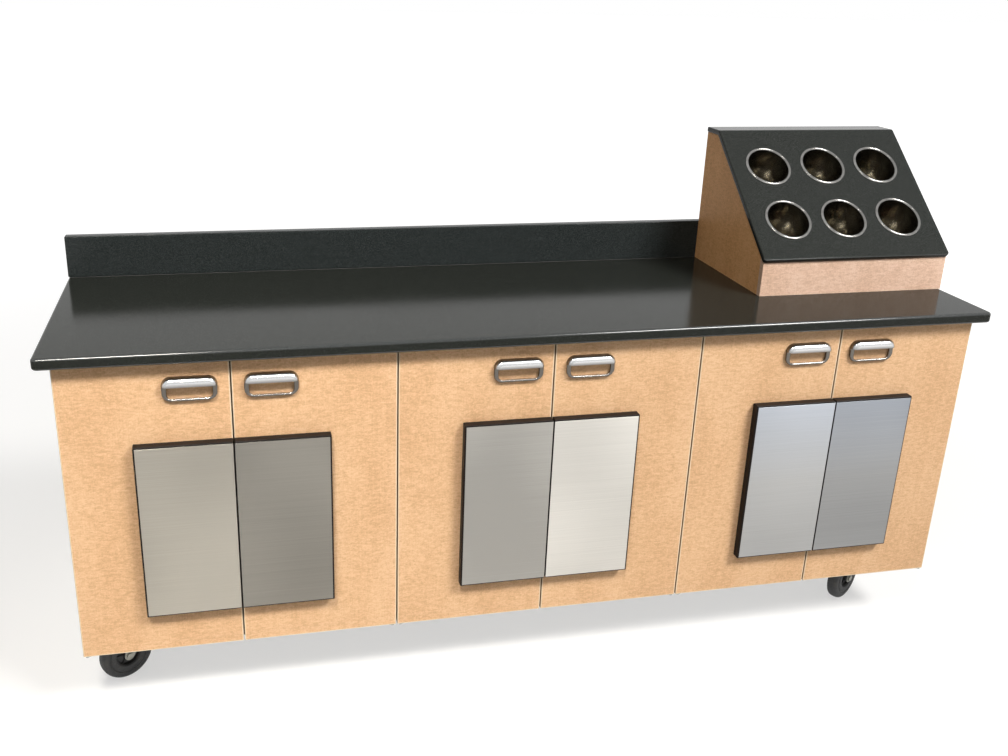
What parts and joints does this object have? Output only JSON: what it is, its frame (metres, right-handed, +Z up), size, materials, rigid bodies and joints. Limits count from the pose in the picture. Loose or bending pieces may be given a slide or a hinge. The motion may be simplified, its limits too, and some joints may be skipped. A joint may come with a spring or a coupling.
{
  "type": "mobile service counter",
  "caption": "Low cabinet on swivel casters with paired doors, raised steel panels, cup pulls, dark worktop with upstand and a sloping bin of lift-out utensil cylinders.",
  "frame": {"origin": "on the floor, below the middle of the overall box", "axes": "+Z up, -Y towards the user at the doors, +X to the right end with the bin"},
  "size_m": [2.136, 0.5951, 1.2155],
  "materials": {
    "maple_laminate": "satin laminate",
    "pale_melamine": "satin melamine",
    "charcoal_solid_surface": "matte, fine speckle",
    "brushed_stainless": "horizontal brushing",
    "black_edged_board": "matte black edging",
    "satin_nickel": "satin nickel plate",
    "polished_stainless": "polished",
    "zinc_plated_steel": "zinc plate",
    "grey_rubber": "matte rubber"
  },
  "bodies": {
    "cabinet": {"deck_panel": "pale_melamine", "left_end_panel": "maple_laminate", "right_end_panel": "maple_laminate", "left_partition": "pale_melamine", "right_partition": "pale_melamine", "back_panel": "maple_laminate", "front_top_rail": "pale_melamine", "rear_top_rail": "pale_melamine", "shelf_1": "pale_melamine", "shelf_2": "pale_melamine", "shelf_3": "pale_melamine", "countertop": "charcoal_solid_surface", "backsplash": "charcoal_solid_surface", "bin_left_side": "maple_laminate", "bin_right_side": "maple_laminate", "bin_front_panel": "maple_laminate", "bin_back_panel": "maple_laminate", "bin_top": "charcoal_solid_surface", "caster_plate_1": "zinc_plated_steel", "caster_plate_2": "zinc_plated_steel", "caster_plate_3": "zinc_plated_steel", "caster_plate_4": "zinc_plated_steel"},
    "door_1_body": {"door_1": "maple_laminate", "panel_core_1": "black_edged_board", "panel_face_1": "brushed_stainless", "handle_1": "satin_nickel"},
    "door_2_body": {"door_2": "maple_laminate", "panel_core_2": "black_edged_board", "panel_face_2": "brushed_stainless", "handle_2": "satin_nickel"},
    "door_3_body": {"door_3": "maple_laminate", "panel_core_3": "black_edged_board", "panel_face_3": "brushed_stainless", "handle_3": "satin_nickel"},
    "door_4_body": {"door_4": "maple_laminate", "panel_core_4": "black_edged_board", "panel_face_4": "brushed_stainless", "handle_4": "satin_nickel"},
    "door_5_body": {"door_5": "maple_laminate", "panel_core_5": "black_edged_board", "panel_face_5": "brushed_stainless", "handle_5": "satin_nickel"},
    "door_6_body": {"door_6": "maple_laminate", "panel_core_6": "black_edged_board", "panel_face_6": "brushed_stainless", "handle_6": "satin_nickel"},
    "cylinder_1_body": {"utensil_cylinder_1": "polished_stainless"},
    "cylinder_2_body": {"utensil_cylinder_2": "polished_stainless"},
    "cylinder_3_body": {"utensil_cylinder_3": "polished_stainless"},
    "cylinder_4_body": {"utensil_cylinder_4": "polished_stainless"},
    "cylinder_5_body": {"utensil_cylinder_5": "polished_stainless"},
    "cylinder_6_body": {"utensil_cylinder_6": "polished_stainless"},
    "caster_1_fork_body": {"caster_fork_1": "zinc_plated_steel"},
    "caster_1_wheel_body": {"caster_wheel_1": "grey_rubber"},
    "caster_2_fork_body": {"caster_fork_2": "zinc_plated_steel"},
    "caster_2_wheel_body": {"caster_wheel_2": "grey_rubber"},
    "caster_3_fork_body": {"caster_fork_3": "zinc_plated_steel"},
    "caster_3_wheel_body": {"caster_wheel_3": "grey_rubber"},
    "caster_4_fork_body": {"caster_fork_4": "zinc_plated_steel"},
    "caster_4_wheel_body": {"caster_wheel_4": "grey_rubber"}
  },
  "joints": [
    {"name": "door_1_hinge", "type": "hinge", "parent": "cabinet", "child": "door_1_body", "pos_m": [-1.0295, -0.267, 0.4945], "axis": [0, 0, 1], "range_deg": [-110, 0]},
    {"name": "door_2_hinge", "type": "hinge", "parent": "cabinet", "child": "door_2_body", "pos_m": [-0.3565, -0.267, 0.4945], "axis": [0, 0, 1], "range_deg": [0, 110]},
    {"name": "door_3_hinge", "type": "hinge", "parent": "cabinet", "child": "door_3_body", "pos_m": [-0.3375, -0.267, 0.4945], "axis": [0, 0, 1], "range_deg": [-110, 0]},
    {"name": "door_4_hinge", "type": "hinge", "parent": "cabinet", "child": "door_4_body", "pos_m": [0.3355, -0.267, 0.4945], "axis": [0, 0, 1], "range_deg": [0, 110]},
    {"name": "door_5_hinge", "type": "hinge", "parent": "cabinet", "child": "door_5_body", "pos_m": [0.3545, -0.267, 0.4945], "axis": [0, 0, 1], "range_deg": [-110, 0]},
    {"name": "door_6_hinge", "type": "hinge", "parent": "cabinet", "child": "door_6_body", "pos_m": [1.0275, -0.267, 0.4945], "axis": [0, 0, 1], "range_deg": [0, 110]},
    {"name": "cylinder_1_lift", "type": "slide", "parent": "cabinet", "child": "cylinder_1_body", "axis": [0, -0.6409, 0.7676], "range_m": [0, 0.15]},
    {"name": "cylinder_2_lift", "type": "slide", "parent": "cabinet", "child": "cylinder_2_body", "axis": [0, -0.6409, 0.7676], "range_m": [0, 0.15]},
    {"name": "cylinder_3_lift", "type": "slide", "parent": "cabinet", "child": "cylinder_3_body", "axis": [0, -0.6409, 0.7676], "range_m": [0, 0.15]},
    {"name": "cylinder_4_lift", "type": "slide", "parent": "cabinet", "child": "cylinder_4_body", "axis": [0, -0.6409, 0.7676], "range_m": [0, 0.15]},
    {"name": "cylinder_5_lift", "type": "slide", "parent": "cabinet", "child": "cylinder_5_body", "axis": [0, -0.6409, 0.7676], "range_m": [0, 0.15]},
    {"name": "cylinder_6_lift", "type": "slide", "parent": "cabinet", "child": "cylinder_6_body", "axis": [0, -0.6409, 0.7676], "range_m": [0, 0.15]},
    {"name": "caster_1_swivel", "type": "hinge", "parent": "cabinet", "child": "caster_1_fork_body", "pos_m": [-0.9375, -0.116, 0.1], "axis": [0, 0, 1], "continuous": true},
    {"name": "caster_1_roll", "type": "hinge", "parent": "caster_1_fork_body", "child": "caster_1_wheel_body", "pos_m": [-0.9675, -0.13403, 0.0625], "axis": [-0.515, 0.8572, 0], "continuous": true},
    {"name": "caster_2_swivel", "type": "hinge", "parent": "cabinet", "child": "caster_2_fork_body", "pos_m": [0.9355, -0.116, 0.1], "axis": [0, 0, 1], "continuous": true},
    {"name": "caster_2_roll", "type": "hinge", "parent": "caster_2_fork_body", "child": "caster_2_wheel_body", "pos_m": [0.9055, -0.13403, 0.0625], "axis": [-0.515, 0.8572, 0], "continuous": true},
    {"name": "caster_3_swivel", "type": "hinge", "parent": "cabinet", "child": "caster_3_fork_body", "pos_m": [-0.9375, 0.1165, 0.1], "axis": [0, 0, 1], "continuous": true},
    {"name": "caster_3_roll", "type": "hinge", "parent": "caster_3_fork_body", "child": "caster_3_wheel_body", "pos_m": [-0.9675, 0.09847, 0.0625], "axis": [-0.515, 0.8572, 0], "continuous": true},
    {"name": "caster_4_swivel", "type": "hinge", "parent": "cabinet", "child": "caster_4_fork_body", "pos_m": [0.9355, 0.1165, 0.1], "axis": [0, 0, 1], "continuous": true},
    {"name": "caster_4_roll", "type": "hinge", "parent": "caster_4_fork_body", "child": "caster_4_wheel_body", "pos_m": [0.9055, 0.09847, 0.0625], "axis": [-0.515, 0.8572, 0], "continuous": true}
  ]
}
